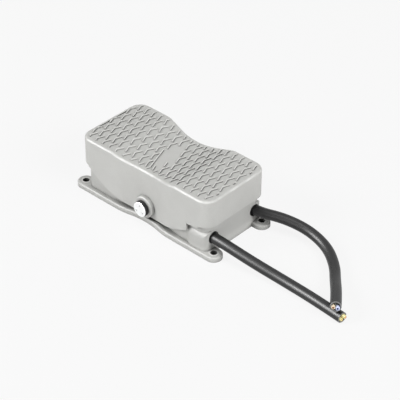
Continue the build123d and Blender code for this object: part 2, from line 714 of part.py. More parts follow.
for word, side in (("near", -1), ("far", 1)):
    save(f"pivot_screw_{word}", make_pivot_screw(side))
    save(f"pivot_washer_{word}", make_pivot_washer(side))
    save(f"pivot_bush_{word}", make_pivot_bush(side))
    save(f"cable_grommet_{word}", make_grommet(side))
    save(f"cable_clip_{word}", make_clip(side))
    save(f"clip_screw_{word}", make_clip_screw(side))

for word, side in (("left", -1), ("right", 1)):
    save(f"switch_body_{word}", make_switch_body(side))
    save(f"switch_plunger_{word}", make_plunger(side))
    save(f"switch_terminals_{word}", make_terminals(side))
    save(f"switch_screws_{word}", make_switch_screws(side))
    save(f"press_screw_{word}", make_press_screw(side))
    save(f"lock_nut_{word}", make_lock_nut(side))
    save(f"return_spring_{word}", make_spring(side))
    save(f"wires_{word}", make_wires(side))

for word, route in (("near", NEAR_ROUTE), ("far", FAR_ROUTE)):
    cable, centreline = make_cable(f"cable_{word}", route)
    cores, strands = make_end_pieces(centreline)
    save(f"cable_{word}", cable)
    save(f"cable_{word}_cores", cores)
    save(f"cable_{word}_strands", strands)
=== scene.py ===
# %% [markdown]
# # A rocker foot switch, dressed for its picture
#
# The switch is already built to size elsewhere: castings, pivots, switches, springs and cables stand in a
# fixed frame, in metres, with X along the length, Y across and Z up. This lesson gives each of those
# pieces its finish, and replaces the few whose plain form isn't enough: the two rubber cables, their cut
# ends, and the coil springs. We start by loading the frame and noting how large it is.

# %% Load the frame
import json
import math

import bmesh
import bpy
from mathutils import Matrix, Vector


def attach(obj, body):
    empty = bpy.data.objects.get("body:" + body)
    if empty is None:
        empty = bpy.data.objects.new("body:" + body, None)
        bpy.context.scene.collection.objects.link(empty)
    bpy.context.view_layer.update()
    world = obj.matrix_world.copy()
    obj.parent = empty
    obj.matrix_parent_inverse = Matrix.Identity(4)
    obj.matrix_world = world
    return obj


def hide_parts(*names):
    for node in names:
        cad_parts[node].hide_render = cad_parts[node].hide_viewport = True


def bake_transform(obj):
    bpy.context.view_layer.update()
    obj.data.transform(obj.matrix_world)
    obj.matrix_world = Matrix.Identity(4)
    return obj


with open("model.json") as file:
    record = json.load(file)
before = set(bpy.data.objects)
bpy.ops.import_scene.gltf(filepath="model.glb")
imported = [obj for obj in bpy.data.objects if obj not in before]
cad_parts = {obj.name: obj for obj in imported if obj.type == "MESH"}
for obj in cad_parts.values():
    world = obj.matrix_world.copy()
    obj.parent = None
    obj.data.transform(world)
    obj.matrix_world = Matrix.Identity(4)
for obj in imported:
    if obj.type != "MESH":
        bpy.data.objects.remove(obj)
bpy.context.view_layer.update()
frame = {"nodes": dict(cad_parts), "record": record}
nodes = frame["nodes"]

MM = 0.001


def mm(*values):
    """A point given in millimetres, in metres."""
    return Vector([value * MM for value in values])


# %% [markdown]
# ## The camera
#
# The photograph looks down on the near long side and the cable end together. Its viewing direction was
# worked out from the fixing holes, the pedal's edges and the three known sizes. A camera can be aimed
# with a constraint, but writing its three axes out keeps the small roll of the original, so we build
# them: "back" points from the object to the camera, "right" lies level, and "up" follows from the two.

# %% Place the camera
AZIMUTH = 42.51
ELEVATION = 36.43
ROLL = 0.33
DISTANCE = 1.18624
AIM_HEIGHT = 0.020
SLIDE_RIGHT = 0.02032
SLIDE_UP = -0.01304
PICTURE_SIDE = 400
FOCAL_PIXELS = 1611.9
SENSOR = 36.0
NEAREST = 0.05
FURTHEST = 20


def camera_axes(azimuth, elevation, roll):
    """The camera's right, up and back directions."""
    a, e, r = (math.radians(angle) for angle in (azimuth, elevation, roll))
    back = Vector((math.sin(a) * math.cos(e), -math.cos(a) * math.cos(e), math.sin(e)))
    level = Vector((math.cos(a), math.sin(a), 0))
    upright = back.cross(level)
    right = level * math.cos(r) + upright * math.sin(r)
    up = upright * math.cos(r) - level * math.sin(r)
    return right, up, back


right, up, back = camera_axes(AZIMUTH, ELEVATION, ROLL)
camera = bpy.data.objects.new("camera", bpy.data.cameras.new("camera"))
bpy.context.scene.collection.objects.link(camera)
camera.data.sensor_width = SENSOR
camera.data.lens = FOCAL_PIXELS / PICTURE_SIDE * SENSOR
camera.data.clip_start = NEAREST
camera.data.clip_end = FURTHEST
eye = Vector((0, 0, AIM_HEIGHT)) + back * DISTANCE + right * SLIDE_RIGHT + up * SLIDE_UP
camera.matrix_world = Matrix.Translation(eye) @ Matrix((right, up, back)).transposed().to_4x4()
bpy.context.scene.camera = camera
bpy.context.scene.view_settings.view_transform = "Standard"
print("camera at", tuple(round(value, 3) for value in eye), "lens", round(camera.data.lens, 1), "mm")

# %% [markdown]
# ## Shader maths as Python
#
# A finish that varies over a surface is a sum of small fields: a noise here, a mask there. Wiring those
# by hand hides the idea, so we wrap one socket in a small class whose operators add Math nodes. An
# expression such as `1 - mask * 0.3` then reads as what it is. One more method adds any other node: its
# settings first, then the values or links of its sockets.


# %% A class for one socket
class Field:
    """One output socket of a shader, on which Python's operators build Math nodes."""

    def __init__(self, tree, socket=None):
        self.tree = tree
        self.socket = socket

    def node(self, kind, settings=None, inputs=None, output=0):
        """Adds a node: its settings are set first, then its sockets are given values or links."""
        made = self.tree.nodes.new(kind)
        for name, value in (settings or {}).items():
            setattr(made, name, value)
        for name, value in (inputs or {}).items():
            if isinstance(value, Field):
                self.tree.links.new(value.socket, made.inputs[name])
            else:
                made.inputs[name].default_value = value
        return Field(self.tree, made.outputs[output])

    def math(self, operation, *terms):
        return self.node("ShaderNodeMath", {"operation": operation}, dict(enumerate(terms)))

    def __add__(self, other):
        return self.math("ADD", self, other)

    def __radd__(self, other):
        return self.math("ADD", other, self)

    def __sub__(self, other):
        return self.math("SUBTRACT", self, other)

    def __rsub__(self, other):
        return self.math("SUBTRACT", other, self)

    def __mul__(self, other):
        return self.math("MULTIPLY", self, other)

    def __rmul__(self, other):
        return self.math("MULTIPLY", other, self)

    def root(self):
        return self.math("POWER", self, 0.5)

    def size(self):
        return self.math("ABSOLUTE", self)

    def step(self, low, high):
        """0 below low, 1 above high, and a smooth rise between."""
        return self.node(
            "ShaderNodeMapRange",
            {"interpolation_type": "SMOOTHSTEP"},
            {"Value": self, "From Min": low, "From Max": high},
        )

    def mix(self, first, second):
        """The first colour where this field is 0, the second where it is 1."""
        return self.node(
            "ShaderNodeMix",
            {"data_type": "RGBA"},
            {0: self, 6: first, 7: second},
            output=2,
        )

    def split(self):
        """The x, y and z of a vector field."""
        axes = self.node("ShaderNodeSeparateXYZ", None, {0: self}).socket.node
        return [Field(self.tree, output) for output in axes.outputs]


print("socket class ready")

# %% [markdown]
# ## Four things that every finish uses
#
# Noise comes in millimetres here, so that a grain of 0.8 mm reads as one. Openness asks Cycles how much
# of the sky a point could see within a short reach, which is where shade is painted into the colour. Both
# are taken on the object itself, so a finish needs no unwrapping and looks the same from every side.
# Colours are written as the eye reads them, from 0 to 255, and turned into the linear values that shaders
# take.


# %% Noise, openness, bump and colour
def noise(point, size, detail=3.0, roughness=0.5):
    """Cloudy values round 0.5, with blobs of the given size in millimetres."""
    inputs = {"Vector": point, "Scale": 1 / (size * MM), "Detail": detail, "Roughness": roughness}
    return point.node("ShaderNodeTexNoise", {"noise_dimensions": "3D"}, inputs)


def openness(point, reach):
    """1 on open surfaces, falling towards 0 in corners and slots narrower than the reach."""
    return point.node("ShaderNodeAmbientOcclusion", {"samples": 8}, {"Distance": reach * MM}, output="AO")


def bump(height_field, height, strength=1.0, after=None):
    """A surface normal pushed about by a field, as a relief of the given height in millimetres."""
    inputs = {"Height": height_field, "Distance": height * MM, "Strength": strength}
    if after is not None:
        inputs["Normal"] = after
    return height_field.node("ShaderNodeBump", None, inputs)


def rgb(red, green, blue):
    """A colour as the eye reads it, 0 to 255, in the linear values that a shader takes."""

    def linear(level):
        level = level / 255
        return level / 12.92 if level <= 0.04045 else ((level + 0.055) / 1.055) ** 2.4

    return (linear(red), linear(green), linear(blue), 1.0)


def darker(colour, share):
    """A linear colour, scaled down."""
    return [channel * share for channel in colour[:3]] + [1.0]


print("pale grey, linear:", tuple(round(value, 3) for value in rgb(184, 184, 181)))

# %% [markdown]
# ## Starting and wiring a material
#
# Blender's Principled shader covers paint, metal and rubber alike, so every material here is one of
# those. Numbers that are the same all over are set on its sockets, and fields are linked to them.


# %% Start and wire a material
def new_finish(name, **plain):
    """A material with one Principled shader. Returns it with the shader and the point on the surface."""
    material = bpy.data.materials.new(name)
    material.use_nodes = True
    tree = material.node_tree
    shader = tree.nodes["Principled BSDF"]
    for key, value in plain.items():
        shader.inputs[key.replace("_", " ").title().replace("Ior", "IOR")].default_value = value
    point = Field(tree).node("ShaderNodeTexCoord", output="Object")
    return material, shader, point


def wire(shader, **fields):
    """Links fields to the shader's sockets, named with underscores."""
    for key, field in fields.items():
        field.tree.links.new(field.socket, shader.inputs[key.replace("_", " ").title()])


print("material helpers ready")

# %% [markdown]
# ## Marks on the pedal
#
# The pedal's face is dished at mid length and carries small raised chevrons. Shade is painted dark along
# the chevrons' flanks, the steep strokes most, their tops are painted light, partly as wear and partly as a
# highlight, and the pedal's rounded edge carries a painted highlight in patches. Such marks could be
# painted on an image by hand, but here the shape itself says where they belong: the height over the dished
# face finds the chevrons, and the way a point faces tells a steep stroke from a shallow one.

# %% Tread marks
FLANK_SHADE = rgb(40, 40, 39)
PALE_TOP_AND_RING = rgb(214, 214, 211)
EDGE_HIGHLIGHT = rgb(232, 232, 230)
FACE_Z = 48.2 * MM
BAR_HEIGHT = 0.8 * MM
DIP_DEPTH = 4.8 * MM
DIP_RADIUS = 106.4 * MM
DIP_CENTRE_Z = FACE_Z - DIP_DEPTH + DIP_RADIUS
STEEP_ARM = (0.933, 0.359)
SHALLOW_ARM = (0.933, -0.359)
SHALLOW_SHARE = 0.25
TOP_LIGHT_SHARE = 0.6
FOOT = 0.05 * MM
EDGE_HIGHLIGHT_PATCH = 9


def over_face(x, z):
    """The height over the pedal's face, which is flat at both ends and an arc between them."""
    drop = DIP_RADIUS**2 - x * x
    dish = DIP_CENTRE_Z - drop.math("MAXIMUM", drop, 0.0).root()
    return z - dish.math("MINIMUM", dish, FACE_Z)


def facing(normal_x, normal_y, arm, low, high):
    """1 where a flank faces square to one arm of the chevrons."""
    return (normal_x * arm[0] + normal_y * arm[1]).step(low, high)


def tread_marks(point, colour):
    """Paints shade on the bars' flanks, steep strokes most, light tops (wear and highlight) and a highlight
    on the edge.
    """
    x, _, z = point.split()
    height = over_face(x, z)
    normal_x, normal_y, normal_z = point.node("ShaderNodeTexCoord", output="Normal").split()
    on_bar = height.step(-FOOT, FOOT)
    # Painted shade on the bars' flanks, full on the steep strokes and a share on the shallow ones.
    colour = (on_bar * facing(normal_x, normal_y, STEEP_ARM, 0.8, 0.97)).mix(colour, FLANK_SHADE)
    shallow = facing(normal_x, normal_y, SHALLOW_ARM, 0.9, 0.99)
    colour = (on_bar * shallow * SHALLOW_SHARE).mix(colour, FLANK_SHADE)
    # Painted highlight along the pedal's rounded edge, broken into patches.
    rounded_edge = normal_z.step(0.25, 0.5) * (1 - normal_z.step(0.85, 0.94)) * (1 - on_bar)
    edge_light_patches = noise(point, EDGE_HIGHLIGHT_PATCH, 2.0).step(0.35, 0.65) * 0.3 + 0.15
    colour = (rounded_edge * edge_light_patches).mix(colour, EDGE_HIGHLIGHT)
    # The bars' tops are painted light, partly as wear and partly as a painted highlight.
    top = height.step(0.6 * BAR_HEIGHT, 0.95 * BAR_HEIGHT)
    return (top * TOP_LIGHT_SHARE).mix(colour, PALE_TOP_AND_RING)


print("dish of radius", round(DIP_RADIUS / MM, 1), "mm,", round(DIP_DEPTH / MM, 1), "mm deep")

# %% [markdown]
# ## Marks on the base
#
# The base's walls carry painted shade, a little darker than the pedal from a few millimetres up. Its fixing
# holes are painted black as shade, and a lighter ring is painted round each. All four holes lie at the
# same distance from both middle lines, so the size of x and y is enough to find the nearest one.

# %% Base marks
PAINTED_SHADE = rgb(58, 58, 57)
HOLE_SHADE = rgb(14, 14, 14)
HOLE_X = 65.0 * MM
HOLE_Y = 26.0 * MM
HOLE_RADIUS = 2.5 * MM
WALL_FROM = 5 * MM
WALL_FULL = 9 * MM
WALL_SHADE = 0.12
RING_SHARE = 0.7


def from_hole(point):
    """The distance from the axis of the nearest fixing hole."""
    x, y, _ = point.split()
    away_x = x.size() - HOLE_X
    away_y = y.size() - HOLE_Y
    return (away_x * away_x + away_y * away_y).root()


def base_marks(point, colour):
    """Paints shade on the base's walls and black in its fixing holes, and a lighter ring round each hole."""
    _, _, z = point.split()
    # Painted shade: the walls darken a little from a few millimetres up.
    colour = (z.step(WALL_FROM, WALL_FULL) * WALL_SHADE).mix(colour, PAINTED_SHADE)
    away = from_hole(point)
    past_rim = away.step(HOLE_RADIUS, 1.1 * HOLE_RADIUS)
    past_head = away.step(1.35 * HOLE_RADIUS, 1.6 * HOLE_RADIUS)
    colour = (past_rim * (1 - past_head) * RING_SHARE).mix(colour, PALE_TOP_AND_RING)
    # Painted shade: the fixing holes are coloured black.
    return away.step(0.98 * HOLE_RADIUS, 1.04 * HOLE_RADIUS).mix(HOLE_SHADE, colour)


print("fixing holes", 2 * HOLE_X / MM, "by", 2 * HOLE_Y / MM, "mm apart")

# %% [markdown]
# ## Painted casting
#
# Base and pedal are metal castings with a thin coat of warm grey paint. The coat doesn't hide the
# sand-like skin of the casting: close up it is a fine orange-peel with a few coarser pits, and from a
# step away a soft speckle. An image of paint would tile and stretch, so the skin is three noises of
# different size: a cloud and a grain shift the colour by a few percent, and the grain and the pits push
# the normal. Last comes painted shade, which darkens the slot between apron and flange and every other
# narrow corner.

# %% Painted casting
PAINT = rgb(184, 184, 181)
PAINT_DEEP = rgb(178, 178, 175)
CLOUD = 11
GRAIN = 0.8
PITS = 2.2
SHADE_REACH = 7


def painted_casting(name, marks):
    """Warm grey paint over a cast skin, with marks of its own and grime in its corners."""
    material, shader, point = new_finish(name)
    cloud = noise(point, CLOUD, 2.0)
    grain = noise(point, GRAIN, 3.0, 0.6)
    pits = noise(point, PITS, 2.0)
    colour = (cloud * 0.4 + grain * 0.6).step(0.3, 0.7).mix(PAINT_DEEP, PAINT)
    colour = marks(point, colour)
    # Painted shade: the colour darkens where little of the sky is open, in slots and corners.
    colour = openness(point, SHADE_REACH).step(0.08, 0.8).mix(PAINTED_SHADE, colour)
    normal = bump(grain, 0.04, 0.6, after=bump(pits, 0.08, 0.4))
    wire(shader, base_color=colour, roughness=0.46 + grain * 0.12, normal=normal)
    return material


body_paint = painted_casting("painted casting", base_marks)
pedal_paint = painted_casting("painted casting with tread", tread_marks)
print("paint:", body_paint.name, "and", pedal_paint.name)

# %% [markdown]
# ## Turned steel
#
# The pivot screws are turned and bright, so fine rings round their axis break up the reflections. Rings
# are a sine of the distance from the axis, which follows the surface better than an image would. The
# head's side and its three dimples are dark in the picture and carry painted shade: the side is found by
# that same distance, and the dimples by how little of their surroundings they see.

# %% Turned steel
PIVOT_Z = 13.8 * MM
HEAD_RADIUS = 6.1 * MM
RING_PITCH = 0.28 * MM
SHADED_STEEL = rgb(66, 66, 66)


def turned_metal(name, colour, roughness):
    """Bright metal with fine turning rings round the pivot's axis, with painted shade on its side and in its
    dimples.
    """
    material, shader, point = new_finish(name, metallic=1.0)
    x, _, z = point.split()
    radius = (x * x + (z - PIVOT_Z) * (z - PIVOT_Z)).root()
    rings = radius.math("SINE", radius * (2 * math.pi / RING_PITCH))
    haze = noise(point, 1.6)
    # Painted shade: the head's side, and the dimples below, take the dark steel colour.
    face = radius.step(0.96 * HEAD_RADIUS, 0.99 * HEAD_RADIUS).mix(colour, SHADED_STEEL)
    wire(
        shader,
        base_color=openness(point, 0.8).step(0.35, 0.75).mix(SHADED_STEEL, face),
        roughness=roughness + haze * 0.14,
        normal=bump(rings * 0.5 + haze, 0.008, 0.25),
    )
    return material


bright_steel = turned_metal("turned bright steel", rgb(244, 245, 245), 0.3)
print("rings every", round(RING_PITCH / MM, 2), "mm")

# %% [markdown]
# ## Plain metals
#
# The hidden screws, nuts, clips and washers are zinc plated, which is duller and slightly cloudy. Bearing
# bronze, stamped brass blades and copper strands differ in colour and roughness only, so one function
# serves them all, and each slot of the record gets one of its results.


# %% Plain metals
def plain_metal(name, colour, roughness):
    """Plated or rolled metal: slightly cloudy colour and shine."""
    material, shader, point = new_finish(name, metallic=1.0)
    haze = noise(point, 1.2)
    wire(
        shader,
        base_color=haze.step(0.3, 0.7).mix(darker(colour, 0.82), colour),
        roughness=roughness + haze * 0.12,
        normal=bump(haze, 0.02, 0.3),
    )
    return material


metals = {
    "bright_steel": bright_steel,
    "plain_steel": plain_metal("zinc plate", rgb(182, 184, 188), 0.34),
    "spring_steel": plain_metal("drawn spring wire", rgb(120, 122, 126), 0.3),
    "bronze": plain_metal("bearing bronze", rgb(188, 148, 92), 0.36),
    "tin_brass": plain_metal("stamped brass", rgb(205, 186, 128), 0.3),
    "copper": plain_metal("copper strand", rgb(166, 112, 82), 0.34),
    "blue_tin": plain_metal("tarnished blue tin", rgb(52, 60, 108), 0.4),
}
print("metals:", ", ".join(sorted(metals)))

# %% [markdown]
# ## Rubber and mouldings
#
# The cable sheath is black and smooth: a long soft highlight runs along it, broken only by the slight
# waviness of an extruded tube. The grommets are the same rubber, duller. The insulated cores and the
# switch mouldings are plain plastics, where a whisper of noise in the shine is all that shows. The wires
# inside share one sub-part, so their three colours come from how far each lies from the middle.

# %% Rubber and mouldings
INNER_WIRE = (12.0 * MM, 12.2 * MM)
OUTER_WIRE = (14.2 * MM, 14.4 * MM)
BROWN, BLUE, YELLOW = rgb(104, 62, 36), rgb(52, 92, 150), rgb(176, 172, 62)


def soft_plastic(name, colour, roughness, wave=3.0, relief=0.03, specular=0.5):
    """Moulded or extruded plastic and rubber: one colour, with a faint wave in shine and surface."""
    material, shader, point = new_finish(name, specular_ior_level=specular)
    slow = noise(point, wave, 2.0)
    fine = noise(point, 0.5, 2.0)
    wire(
        shader,
        base_color=slow.step(0.35, 0.65).mix(darker(colour, 0.86), colour),
        roughness=roughness - 0.04 + fine * 0.1,
        normal=bump(slow + fine * 0.3, relief, 0.5),
    )
    return material


def laid_wires(name):
    """Three core colours, told apart by how far each wire lies from the middle."""
    material, shader, point = new_finish(name)
    _, y, _ = point.split()
    away = y.size()
    colour = away.step(*OUTER_WIRE).mix(away.step(*INNER_WIRE).mix(BROWN, BLUE), YELLOW)
    wire(shader, base_color=colour, roughness=0.3 + noise(point, 2) * 0.1)
    return material


plastics = {
    "cable_sheath": soft_plastic("cable sheath", rgb(10, 10, 11), 0.42, 6.0, 0.003, specular=0.46),
    "black_rubber": soft_plastic("grommet rubber", rgb(16, 16, 17), 0.55, 2.0, 0.04, specular=0.3),
    "switch_case": soft_plastic("switch moulding", rgb(44, 44, 46), 0.45),
    "button_plastic": soft_plastic("button plastic", rgb(178, 52, 40), 0.35),
    "core_plastic": soft_plastic("core insulation", rgb(226, 216, 178), 0.4),
    "wire_plastic": laid_wires("laid wires"),
}
print("plastics:", ", ".join(sorted(plastics)))

# %% [markdown]
# ## Dressing the pieces that keep their form
#
# Most pieces are right as they stand, so they only need their finish. The record says which material slot
# each piece takes, and every slot has one finish here, so a loop dresses them all. The pedal alone shares
# its slot with the base but has marks of its own.

# %% Dress the carried-over pieces
finishes = {"cast_grey": body_paint, **metals, **plastics}
slot_of = {part["node"]: part["material_slot"] for part in frame["record"]["subparts"]}
for name, piece in nodes.items():
    piece.data.materials.clear()
    piece.data.materials.append(pedal_paint if name == "pedal" else finishes[slot_of[name]])
print("dressed", len(nodes), "pieces")

# %% [markdown]
# ## Smooth lines
#
# A cable's route is a handful of corner points. A NURBS curve of order 3 rounds them off as bending
# stiffness would, and a mesh made from that curve, with no bevel, hands back the points along it. They
# could also be worked out by hand, but the curve does it without a line of maths.

# %% Lines and the frames along them
STEPS_PER_SPAN = 24


def smooth_line(points):
    """Points along the smooth line that a route's corners steer, read from a NURBS curve with no bevel."""
    curve = bpy.data.curves.new("line", "CURVE")
    curve.dimensions = "3D"
    curve.resolution_u = STEPS_PER_SPAN
    spline = curve.splines.new("NURBS")
    spline.points.add(len(points) - 1)
    for target, point in zip(spline.points, points):
        target.co = (*point, 1)
    spline.order_u = 3
    spline.use_endpoint_u = True
    holder = bpy.data.objects.new("line", curve)
    mesh = bpy.data.meshes.new_from_object(holder)
    line = [vertex.co.copy() for vertex in mesh.vertices]
    bpy.data.objects.remove(holder)
    bpy.data.curves.remove(curve)
    bpy.data.meshes.remove(mesh)
    return line


def line_length(line):
    return sum((after - before).length for before, after in zip(line, line[1:]))


def directions(line):
    """The direction of travel at each point of a line."""
    ahead = line[1:] + [line[-1] * 2 - line[-2]]
    behind = [line[0] * 2 - line[1]] + line[:-1]
    return [(after - before).normalized() for before, after in zip(behind, ahead)]


def side_frames(line):
    """Two directions square to the line at each point, carried along with the least twist."""
    travel = directions(line)
    side = travel[0].orthogonal().normalized()
    frames = []
    for direction in travel:
        side = (side - direction * side.dot(direction)).normalized()
        frames.append((side, direction.cross(side)))
    return frames


print("line helpers ready")

# %% [markdown]
# ## Sweeping rings along a line
#
# The cables, their cut ends and the springs are all round bars that follow a line. A curve with a bevel
# could draw them, but it can't have a hollow end or a second material inside, so one helper sweeps rings
# along a line instead. Each ring keeps the frame of the one before, turned as little as possible, so the
# tube doesn't twist.

# %% Tubes
SHARP_ANGLE = math.radians(40)


def add_tube(build, rings, sides, inside_from=None):
    """Adds a closed skin through rings, each a centre, two square directions and a radius."""
    loops = []
    for centre, (first, second), radius in rings:
        loop = []
        for index in range(sides):
            angle = 2 * math.pi * index / sides
            offset = first * math.cos(angle) + second * math.sin(angle)
            loop.append(build.verts.new(centre + offset * radius))
        loops.append(loop)
    faces = []
    for step, (lower, upper) in enumerate(zip(loops, loops[1:])):
        for index in range(sides):
            after = (index + 1) % sides
            face = build.faces.new((lower[index], lower[after], upper[after], upper[index]))
            face.material_index = 1 if inside_from is not None and step >= inside_from else 0
            faces.append(face)
    faces.append(build.faces.new(list(reversed(loops[0]))))
    faces.append(build.faces.new(loops[-1]))
    bmesh.ops.recalc_face_normals(build, faces=faces)


def tube_piece(name, tubes, materials, sides=32, inside_from=None):
    """One object made of one or more tubes, with its materials."""
    build = bmesh.new()
    for rings in tubes:
        add_tube(build, rings, sides, inside_from)
    mesh = bpy.data.meshes.new(name)
    build.to_mesh(mesh)
    build.free()
    for material in materials:
        mesh.materials.append(material)
    mesh.shade_smooth()
    mesh.set_sharp_from_angle(angle=SHARP_ANGLE)
    piece = bpy.data.objects.new(name, mesh)
    bpy.context.scene.collection.objects.link(piece)
    return piece


print("tube helpers ready")

# %% [markdown]
# ## The two cables
#
# Each cable is eight millimetres of stiff rubber. It leaves its grommet level with the hole, sinks to the
# floor within six to nine centimetres, and was cut off short. The near one runs nearly straight. The far
# one swings out and comes back, and its end lies on top of the near one. The corner points below are the
# cables' routes, in millimetres, and the smooth line that they steer is what the rubber follows. The skin
# is carried round the cut edge and back inside, so the sheath shows its thickness round a small recess.

# %% Cables
CABLE_RADIUS = 4.0 * MM
CABLE_SIDES = 40
BORE_RADIUS = 3.05 * MM
CUT_ROUNDING = 0.18 * MM
RECESS_DEPTH = 2.2 * MM
ROUTES = {
    "near": [
        (48.0, -22.0, 13.6), (65.0, -22.0, 13.6), (95.2, -19.8, 8.8),
        (125.6, -16.4, 4.4), (151.9, -17.0, 4.0), (176.2, -19.1, 4.0),
    ],
    "far": [
        (48.0, 22.0, 13.6), (64.0, 22.0, 13.6), (83.4, 29.9, 13.2), (102.1, 35.7, 8.6), (121.5, 32.5, 5.3),
        (137.3, 21.1, 4.0), (147.9, 8.4, 4.8), (161.3, -7.4, 9.9), (172.0, -21.8, 13.0),
    ],
}
sheath_cut = soft_plastic("cut sheath", rgb(112, 112, 112), 0.6, 1.0, 0.08)


def cable_piece(word, line):
    """The sheath as one skin: along the line, round the cut edge and back into the recess."""
    frames = side_frames(line)
    rings = [(centre, pair, CABLE_RADIUS) for centre, pair in zip(line, frames)]
    last, pair = line[-1], frames[-1]
    outward = directions(line)[-1]
    rings[-1] = (last - outward * CUT_ROUNDING, pair, CABLE_RADIUS)
    rings.append((last, pair, CABLE_RADIUS - CUT_ROUNDING))
    rings.append((last, pair, BORE_RADIUS + CUT_ROUNDING))
    rings.append((last - outward * CUT_ROUNDING, pair, BORE_RADIUS))
    rings.append((last - outward * RECESS_DEPTH, pair, BORE_RADIUS))
    materials = [plastics["cable_sheath"], sheath_cut]
    return tube_piece(f"rubber_cable_{word}", [rings], materials, CABLE_SIDES, inside_from=len(line) - 1)


cables = {}
lines = {}
for word, route in ROUTES.items():
    lines[word] = smooth_line([mm(*point) for point in route])
    cables[word] = cable_piece(word, lines[word])
    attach(cables[word], "housing")
    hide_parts(f"cable_{word}")
    print(f"cable {word}: {line_length(lines[word]) / MM:.1f} mm long, {len(lines[word])} rings")

# %% [markdown]
# ## Cut ends: what is in them
#
# A cut cable shows its making: the grey inside of the sheath, insulated cores and, in each, a twist of
# fine wire. The cutters dragged two pale cores a little out of the sheath and left the third one, which
# is dark, behind its edge. The lists below give each core's colour, reach past the cut, place round the
# middle, radius and wire, core by core.

# %% What the cut ends hold
CORE_CIRCLE = 1.6 * MM
END_COLOURS = {
    "near": [rgb(232, 222, 160), rgb(222, 212, 150), rgb(72, 68, 44)],
    "far": [rgb(228, 212, 184), rgb(206, 214, 244), rgb(66, 74, 46)],
}
CORE_REACH = {"near": [2.0, 1.0, -0.9], "far": [1.0, 1.3, -0.9]}
CORE_TURN = {"near": [20.0, 140.0, 260.0], "far": [150.0, 300.0, 50.0]}
CORE_RADIUS = {"near": [1.35, 1.35, 1.2], "far": [1.42, 1.42, 0.85]}
WIRE_METAL = {
    "near": ["copper", "tin_brass", "spring_steel"],
    "far": ["copper", "blue_tin", "spring_steel"],
}
filler_black = soft_plastic("filler", rgb(38, 37, 34), 0.7, 1.0, 0.1)
for word, reaches in CORE_REACH.items():
    print(f"cores {word}: {reaches} mm past the cut")

# %% [markdown]
# ## Cut ends: making them
#
# Each core is a short tube with a rounded cut edge. Its strand is seven thin wires, one in the middle and
# six that lean out a little, of slightly different lengths so that they don't look machined. A dark plug
# behind them is the filler that keeps the cable round.

# %% Cores and strands
WIRE_RADIUS = 0.2 * MM
WIRE_SPREAD = 0.42 * MM
WIRE_LEAN = 0.12
WIRE_SHOWS = 0.9
WIRE_UNEVENNESS = 0.13
WIRE_ROOT = 0.5 * MM
OUTER_WIRES = 6
FILLER_LENGTH = 0.9 * MM
FILLER_OVERLAP = 0.2 * MM
FILLER_GAP = 0.02 * MM


def straight(start, direction, length, radius, rounding, pair):
    """Rings of a short straight tube whose far edge is rounded."""
    end = start + direction * length
    return [
        (start, pair, radius),
        (end - direction * rounding, pair, radius),
        (end - direction * rounding * 0.3, pair, radius - rounding * 0.3),
        (end, pair, radius - rounding),
    ]


def strand_tubes(centre, outward, first, second, core):
    """Six thin wires that fan out a little round a seventh in the middle of a core."""
    tubes = []
    for index in range(OUTER_WIRES + 1):
        turn = 2 * math.pi * index / OUTER_WIRES
        spoke = first * math.cos(turn) + second * math.sin(turn)
        outer = index < OUTER_WIRES
        lean = (outward + spoke * (WIRE_LEAN if outer else 0)).normalized()
        length = (WIRE_SHOWS + WIRE_UNEVENNESS * ((index * 5 + core * 3) % 4)) * MM
        start = centre + spoke * (WIRE_SPREAD if outer else 0) - outward * WIRE_ROOT
        tubes.append(straight(start, lean, length, WIRE_RADIUS, 0.05 * MM, (first, second)))
    return tubes


def cut_end(word, line):
    """The filler, three cores and their strands, at the end of a cable."""
    outward = directions(line)[-1]
    first, second = side_frames(line)[-1]
    root = line[-1] - outward * RECESS_DEPTH
    plug_start = root - outward * FILLER_OVERLAP
    plug_radius = BORE_RADIUS - FILLER_GAP
    plug = straight(plug_start, outward, FILLER_LENGTH, plug_radius, 0.1 * MM, (first, second))
    made = [(tube_piece(f"cable_filler_{word}", [plug], [filler_black]), "cores", "cable_sheath")]
    for index, colour in enumerate(END_COLOURS[word]):
        angle = math.radians(CORE_TURN[word][index])
        offset = (first * math.cos(angle) + second * math.sin(angle)) * CORE_CIRCLE
        insulation = soft_plastic(f"core {word} {index}", colour, 0.4, 1.0, 0.02)
        length = RECESS_DEPTH + CORE_REACH[word][index] * MM
        radius = CORE_RADIUS[word][index] * MM
        core = straight(root + offset, outward, length, radius, 0.15 * MM, (first, second))
        made.append((tube_piece(f"core_{word}_{index}", [core], [insulation], 24), "cores", "core_plastic"))
        strands = strand_tubes(root + offset + outward * length, outward, first, second, index)
        strand = tube_piece(f"strands_{word}_{index}", strands, [metals[WIRE_METAL[word][index]]], 10)
        made.append((strand, "strands", "copper"))
    return made


end_pieces = {}
for word, line in lines.items():
    end_pieces[word] = []
    for piece, part, slot in cut_end(word, line):
        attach(piece, "housing")
        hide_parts(f"cable_{word}_{part}")
        end_pieces[word].append(piece)
    print(f"cut end {word}: {len(end_pieces[word])} pieces")

# %% [markdown]
# ## The cables' lengths
#
# Each cable's length is taken along its line, and the pieces on each are counted. The picture shows both
# from end to end, so what it shows is all there is, and the bare cut is their true end.

for word, line in lines.items():
    line_length(line)
    print(f"declared {cables[word].name} with {len(end_pieces[word])} pieces on it")

# %% [markdown]
# ## Return springs
#
# Two open coils push the pedal back to level. Real compression springs have closed ends, so the pitch
# here drops to one wire at both ends. Their feet stay on the base while their tops follow the pedal.

# %% Springs
SPRING_X = {"left": -46.0 * MM, "right": 46.0 * MM}
SPRING_LOW = 2.5 * MM
SPRING_HIGH = 45.2 * MM
COIL_RADIUS = 4.9 * MM
SPRING_WIRE = 0.6 * MM
SPRING_SIDES = 12
OPEN_TURNS = 6.0
END_TURNS = 1.0
STEPS_PER_TURN = 24


